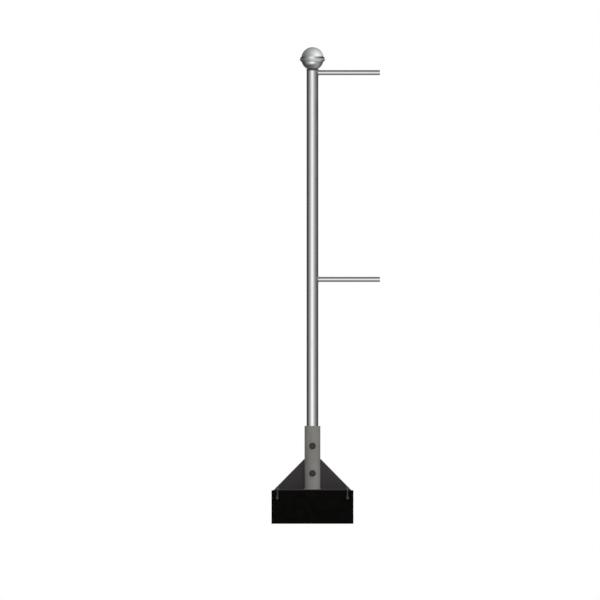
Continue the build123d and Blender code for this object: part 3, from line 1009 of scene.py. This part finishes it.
class FLAGPOLE_OT_anchor_bolts(Operator):
    """Build the four anchor bolts with their nuts and washers"""
    bl_idname = "flagpole.anchor_bolts"
    bl_label = "Anchor bolts"
    bl_options = {"REGISTER", "UNDO"}

    def execute(self, context):
        sizes = context.scene.flagpole_sizes
        steps = sizes.small_round_steps
        shoulder = (sizes.anchor_shoulder, sizes.anchor_shoulder_height)
        taper = (sizes.anchor_taper, sizes.anchor_taper_height)
        for corner in CORNERS:
            bolt, nut_node, washer = (f"anchor_{kind}_{corner}" for kind in ("bolt", "nut", "washer"))
            low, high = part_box(bolt)
            nut_low, nut_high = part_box(nut_node)
            washer_low, washer_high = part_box(washer)
            place = Matrix.Translation((middle(bolt).x, middle(bolt).y, 0))
            head_top = low.z + sizes.anchor_head
            rings = [tip(low.z),
                     *hexagon_rings(steps, sizes.anchor_flats, low.z, head_top, taper, shoulder),
                     *shank_rings(steps, sizes.anchor_radius, sizes.anchor_thread, head_top, nut_high.z,
                                  high.z, sizes.tip_chamfer)]
            add_piece(f"anchor_stud_{corner}", skinned(rings), "anchor_steel", [bolt], place)
            shape = nut(steps, extent(nut_node).y, nut_low.z, nut_high.z,
                        sizes.anchor_radius + sizes.nut_relief)
            add_piece(f"anchor_hexagon_{corner}", shape, "anchor_steel", [nut_node], place)
            disc = sleeve(sizes.anchor_radius + sizes.edge_round, extent(washer).x / 2, washer_low.z,
                          washer_high.z)
            shape = turned(eased(disc, sizes.edge_round / 2), steps)
            add_piece(f"anchor_disc_{corner}", shape, "anchor_steel", [washer], place)
        return {"FINISHED"}


class FLAGPOLE_OT_base(Operator):
    """Finish the base plate and the footing block"""
    bl_idname = "flagpole.base"
    bl_label = "Base plate and footing"
    bl_options = {"REGISTER", "UNDO"}

    def execute(self, context):
        refinish("base_plate", finish_of("base_steel"))
        refinish("footing_block", finish_of("footing_concrete"))
        return {"FINISHED"}


# ---- Studio ------------------------------------------------------------------------------------------
def direction(azimuth, elevation):
    """A way out from the pole, by degrees from the front towards the right, and above the horizontal."""
    around, up = math.radians(azimuth), math.radians(elevation)
    return Vector((math.sin(around) * math.cos(up), -math.cos(around) * math.cos(up), math.sin(up)))


# What the metal's reflections show, in degrees: over a crisp horizon a soft light with a brighter spot,
# and under it an upright strip in front, made of two soft widths, and weaker lights below, aside and
# behind. A light's middle is its azimuth and elevation.
CARD_SHADE = 0.005
UPPER_SHADE = 0.14
UPPER_LIGHTS = (
    {"middle": (62, 18), "width": 84, "level": 1.10},
    {"middle": (54, 40), "width": 22, "level": 0.17},
)
LOWER_LIGHTS = (
    {"middle": (82, -66), "width": 52, "level": 0.315},
    {"middle": (95, -38), "width": 26, "level": 0.1},
    {"middle": (180, -38), "width": 20, "level": 0.45},
    {"middle": (180, -5), "width": 28, "level": 0.42},
)
HORIZON = 13
HORIZON_SOFTNESS = 1.2
STRIP_WIDTHS = (
    {"azimuth": -4, "width": 29, "level": 0.70},
    {"azimuth": -7, "width": 66, "level": 0.70},
)
STRIP_MIDDLE = -14
STRIP_HALF_HEIGHT = 32
CARD_COLUMNS = 180
CARD_ROWS = 90

# Each lamp's azimuth, elevation and softness in degrees.
LAMPS = {
    "front_lamp": (0, 12, 40),
    "key_lamp": (52, 36, 24),
    "back_lamp": (180, 30, 40),
    "top_lamp": (20, 88, 60),
}

# The share of the floor's radius at which it is white, and its corners.
FLOOR_WHITE_SHARE = 0.6
FLOOR_STEPS = 96


def lobe(way, middle, width, level):
    """A soft round light on the cards."""
    return level * math.exp(-(math.degrees(way.angle(direction(*middle))) / width) ** 2)


def strip_light(facing, azimuth, width, level):
    """One soft width of the upright strip."""
    aside = (facing - azimuth + 180) % 360 - 180
    return level * math.exp(-(aside / width) ** 2)


def card_brightness(azimuth, elevation):
    """How bright the cards are in one direction."""
    way = direction(azimuth, elevation)
    above = 1 / (1 + math.exp((HORIZON - elevation) / HORIZON_SOFTNESS))
    strip = math.exp(-((elevation - STRIP_MIDDLE) / STRIP_HALF_HEIGHT) ** 4)
    upper = UPPER_SHADE + sum(lobe(way, **light) for light in UPPER_LIGHTS)
    lower = sum(lobe(way, **light) for light in LOWER_LIGHTS)
    lower += strip * sum(strip_light(azimuth, **light) for light in STRIP_WIDTHS)
    return CARD_SHADE + above * upper + (1 - above) * lower


class FLAGPOLE_OT_studio(Operator):
    """Set up the studio's floor, background, lamps, reflected cards and camera"""
    bl_idname = "flagpole.studio"
    bl_label = "Studio"
    bl_options = {"REGISTER", "UNDO"}

    def execute(self, context):
        studio = context.scene.flagpole_studio
        self.add_floor(studio, context.scene.flagpole_colours.floor)
        self.add_world(context.scene, studio)
        self.add_cards(studio)
        for name, aim in LAMPS.items():
            self.add_lamp(name, getattr(studio, name), *aim)
        self.add_camera(context.scene, studio)
        context.scene.view_settings.view_transform = "Standard"
        return {"FINISHED"}

    def add_floor(self, studio, colour):
        """A round pale floor that turns into the white background towards its edge."""
        finish = Finish("pale floor", gloss=0.1)
        finish.shader["Base Color"].default_value = (*colour, 1)
        finish.shader["Roughness"].default_value = 0.8
        reach = finish.add("ShaderNodeVectorMath", {0: finish.place}, operation="LENGTH")["Value"]
        fade = finish.ranged(reach, studio.floor_fade, studio.floor_radius * FLOOR_WHITE_SHARE,
                             interpolation_type="SMOOTHSTEP")
        mix = finish.add("ShaderNodeMixShader", {
            "Fac": finish.both(fade, finish.seen()),
            1: finish.nodes["Principled BSDF"].outputs["BSDF"],
            2: finish.add("ShaderNodeEmission")["Emission"],
        })
        finish.give(finish.nodes["Material Output"].inputs["Surface"], mix["Shader"])
        shape = bmesh.new()
        bmesh.ops.create_circle(shape, cap_ends=True, radius=studio.floor_radius, segments=FLOOR_STEPS)
        floor = new_object("floor", new_mesh("floor", shape, finish.material))
        floor.visible_glossy = False

    def add_world(self, scene, studio):
        """A white background that lights the pole evenly and gently."""
        world = bpy.data.worlds.new("white background")
        nodes = Nodes(world)
        background = nodes.nodes["Background"].inputs
        background["Color"].default_value = (1, 1, 1, 1)
        nodes.give(background["Strength"], nodes.ranged(nodes.seen(), 0.0, 1.0, studio.ambient, 1.0))
        scene.world = world

    def add_cards(self, studio):
        """The soft lights and dark cards that only the metal's reflections show."""
        shape = bmesh.new()
        glow = shape.verts.layers.float.new("glow")
        rows = []
        for row in range(CARD_ROWS + 1):
            elevation = -90 + 180 * row / CARD_ROWS
            corners = []
            for column in range(CARD_COLUMNS):
                azimuth = 360 * column / CARD_COLUMNS
                corner = shape.verts.new(direction(azimuth, elevation) * studio.card_distance)
                corner[glow] = card_brightness(azimuth, elevation)
                corners.append(corner)
            rows.append(corners)
        for lower, upper in zip(rows, rows[1:]):
            strip_faces(shape, lower, upper)
        material = bpy.data.materials.new("card light")
        nodes = Nodes(material)
        read = nodes.add("ShaderNodeAttribute", attribute_name="glow")["Fac"]
        light = nodes.add("ShaderNodeEmission", {"Strength": read})["Emission"]
        nodes.give(nodes.nodes["Material Output"].inputs["Surface"], light)
        material.cycles.emission_sampling = "NONE"
        cards = new_object("reflected_cards", new_mesh("reflected cards", shape, material))
        for ray in ("camera", "diffuse", "transmission", "volume_scatter", "shadow"):
            setattr(cards, f"visible_{ray}", False)

    def add_lamp(self, name, level, azimuth, elevation, softness):
        """A soft lamp far off. At a level of one, what faces it shows its own colour."""
        lamp = bpy.data.lights.new(name, "SUN")
        lamp.energy = level * math.pi
        lamp.angle = math.radians(softness)
        holder = new_object(name, lamp)
        holder.rotation_euler = (math.radians(90 - elevation), 0, math.radians(azimuth))
        holder.visible_glossy = False

    def add_camera(self, scene, studio):
        """A level camera, straight in front, that shows no perspective."""
        lens = bpy.data.cameras.new("camera")
        lens.type = "ORTHO"
        lens.ortho_scale = studio.view_width
        lens.clip_end = studio.card_distance
        camera = new_object("camera", lens)
        camera.location = (studio.view_side, -studio.view_distance, studio.view_level)
        camera.rotation_euler = (math.radians(90), 0, 0)
        scene.camera = camera


class FLAGPOLE_PT_panel(Panel):
    """The flagpole's settings and the buttons that build it"""
    bl_idname = "FLAGPOLE_PT_panel"
    bl_label = "Flagpole"
    bl_space_type = "VIEW_3D"
    bl_region_type = "UI"
    bl_category = "Flagpole"

    def draw(self, context):
        for group in GROUPS:
            settings = getattr(context.scene, group)
            box = self.layout.box()
            for name in settings.__annotations__:
                box.prop(settings, name)
        for step in STEPS:
            self.layout.operator(step.bl_idname)


GROUPS = {
    "flagpole_sizes": FlagpoleSizes,
    "flagpole_colours": FlagpoleColours,
    "flagpole_studio": FlagpoleStudio,
}
STEPS = (
    FLAGPOLE_OT_pole,
    FLAGPOLE_OT_ball,
    FLAGPOLE_OT_arms,
    FLAGPOLE_OT_socket,
    FLAGPOLE_OT_gussets,
    FLAGPOLE_OT_socket_bolts,
    FLAGPOLE_OT_anchor_bolts,
    FLAGPOLE_OT_base,
    FLAGPOLE_OT_studio,
)
CLASSES = (*GROUPS.values(), *STEPS, FLAGPOLE_PT_panel)


def register():
    """Registers the settings, operators and panel."""
    for cls in CLASSES:
        bpy.utils.register_class(cls)
    for name, group in GROUPS.items():
        setattr(bpy.types.Scene, name, PointerProperty(type=group))


def unregister():
    """Removes the settings, operators and panel."""
    for name in GROUPS:
        delattr(bpy.types.Scene, name)
    for cls in reversed(CLASSES):
        bpy.utils.unregister_class(cls)


def main():
    """Builds the whole flagpole and its studio."""
    register()
    bpy.ops.flagpole.pole()
    bpy.ops.flagpole.ball()
    bpy.ops.flagpole.arms()
    bpy.ops.flagpole.socket()
    bpy.ops.flagpole.gussets()
    bpy.ops.flagpole.socket_bolts()
    bpy.ops.flagpole.anchor_bolts()
    bpy.ops.flagpole.base()
    bpy.ops.flagpole.studio()


if __name__ == "__main__":
    main()
